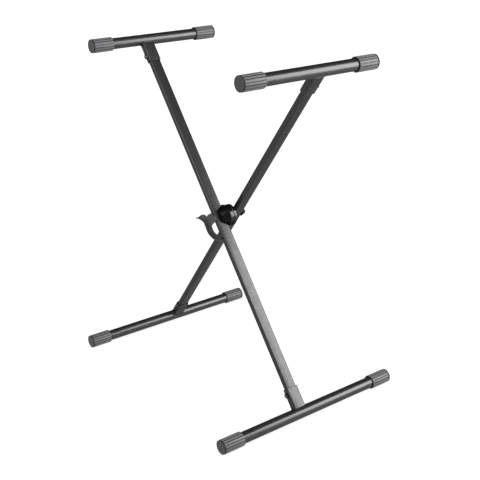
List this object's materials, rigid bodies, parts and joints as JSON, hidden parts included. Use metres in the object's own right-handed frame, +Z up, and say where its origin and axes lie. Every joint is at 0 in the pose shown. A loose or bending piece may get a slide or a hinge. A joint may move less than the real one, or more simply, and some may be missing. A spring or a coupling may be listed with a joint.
{
  "type": "keyboard stand",
  "caption": "Folding X-shaped keyboard stand with crossed flat-sided legs, ribbed rubber end caps and a toothed clutch with a release lever.",
  "frame": {"origin": "on the floor, under the middle of the stand", "axes": "+Z up, +Y along the bars from the lever side to the nut side, +X toward leg b's arm"},
  "size_m": [0.6082, 0.467, 0.7651],
  "materials": {
    "leg_paint": "dark grey hammered powder coat",
    "bar_paint": "satin black powder coat",
    "cap_rubber": "matte, ribbed",
    "gloss_black": "gloss",
    "zinc": "bright zinc plate",
    "yellow_zinc": "yellow zinc plate",
    "dark_zinc": "black zinc plate"
  },
  "bodies": {
    "leg_a_frame": {"leg_a": "leg_paint", "arm_tube_a": "bar_paint", "arm_socket_a": "leg_paint", "arm_bolt_a": "dark_zinc", "arm_nut_a": "zinc", "arm_cap_a_front": "cap_rubber", "arm_cap_a_rear": "cap_rubber", "foot_tube_a": "bar_paint", "foot_socket_a": "leg_paint", "foot_bolt_a": "dark_zinc", "foot_nut_a": "zinc", "foot_cap_a_front": "cap_rubber", "foot_cap_a_rear": "cap_rubber", "clutch_housing": "gloss_black", "clutch_spring": "zinc", "pivot_stud": "zinc", "pivot_washer": "zinc", "pivot_nut": "yellow_zinc"},
    "leg_b_frame": {"leg_b": "leg_paint", "arm_tube_b": "bar_paint", "arm_socket_b": "leg_paint", "arm_bolt_b": "dark_zinc", "arm_nut_b": "zinc", "arm_cap_b_front": "cap_rubber", "arm_cap_b_rear": "cap_rubber", "foot_tube_b": "bar_paint", "foot_socket_b": "leg_paint", "foot_bolt_b": "dark_zinc", "foot_nut_b": "zinc", "foot_cap_b_front": "cap_rubber", "foot_cap_b_rear": "cap_rubber", "clutch_disc_fixed": "zinc"},
    "lever": {"release_lever": "leg_paint", "release_cam": "zinc"},
    "sliding_disc": {"clutch_disc_sliding": "zinc", "cam_pin_upper": "zinc", "cam_pin_lower": "zinc"}
  },
  "joints": [
    {"name": "leg_spread", "type": "hinge", "parent": "leg_a_frame", "child": "leg_b_frame", "pos_m": [0, 0, 0.38423], "axis": [0, 1, 0], "range_deg": [-71, 70]},
    {"name": "lever_turn", "type": "hinge", "parent": "leg_a_frame", "child": "lever", "pos_m": [0, 0, 0.38423], "axis": [0, 1, 0], "range_deg": [0, 18], "stiffness_Nm_per_rad": 0.5, "springref_deg": -17.19},
    {"name": "clutch_slide", "type": "slide", "parent": "leg_a_frame", "child": "sliding_disc", "axis": [0, -1, 0], "range_m": [0, 0.0015]}
  ],
  "couplings": [
    {"joint": "clutch_slide", "follows": "lever_turn", "m_per_rad": 0.0047742}
  ]
}
